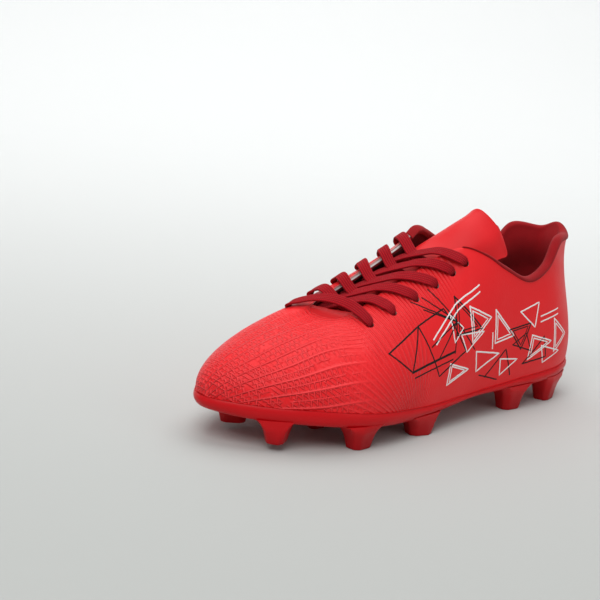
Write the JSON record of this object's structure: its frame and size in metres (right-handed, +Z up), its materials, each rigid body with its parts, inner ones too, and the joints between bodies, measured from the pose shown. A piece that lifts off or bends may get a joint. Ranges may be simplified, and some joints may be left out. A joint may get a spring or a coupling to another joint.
{
  "type": "soccer cleat",
  "caption": "Left low-cut soccer cleat for firm ground: moulded studded sole, one-piece synthetic upper, flat laces, padded tongue and a lift-out sockliner.",
  "frame": {"origin": "on the ground in the middle of the shoe's length and width", "axes": "toe points to -Y, heel to +Y, outer (lateral) side to +X, +Z up"},
  "size_m": [0.0996, 0.2836, 0.126],
  "materials": {
    "sole": "semi-gloss moulded polyurethane, crimson",
    "stiffener": "moulded thermoplastic sheet",
    "board": "bonded fibre board",
    "foam": "soft open-cell foam",
    "lining": "fine knit textile, dark maroon",
    "upper": "semi-matte coated synthetic leather, embossed, bright red",
    "backing": "woven reinforcement tape, off-white",
    "lace": "flat woven polyester, dark red",
    "aglet": "clear-coated moulded tip, dark red"
  },
  "bodies": {
    "shoe": {"outsole": "sole", "shank": "stiffener", "lasting_board": "board", "upper_shell": "upper", "eyestay_backing_lateral": "backing", "eyestay_backing_medial": "backing", "toe_puff": "stiffener", "heel_counter": "stiffener", "vamp_lining": "lining", "throat_insert": "upper", "collar_foam": "foam", "collar_lining": "lining", "lace": "lace", "aglet_lateral": "aglet", "aglet_medial": "aglet"},
    "tongue": {"tongue_shell": "upper", "tongue_foam": "foam", "tongue_lining": "lining"},
    "sockliner": {"sockliner_foam": "foam", "sockliner_cover": "lining"}
  },
  "joints": [
    {"name": "tongue_tilt", "type": "hinge", "parent": "shoe", "child": "tongue", "pos_m": [0, -0.066, 0.059], "axis": [1, 0, 0], "range_deg": [-12, 0], "stiffness_Nm_per_rad": 0.5, "springref_deg": 3.44},
    {"name": "sockliner_lift", "type": "hinge", "parent": "shoe", "child": "sockliner", "pos_m": [0, -0.133, 0.024], "axis": [1, 0, 0], "range_deg": [0, 4]}
  ]
}
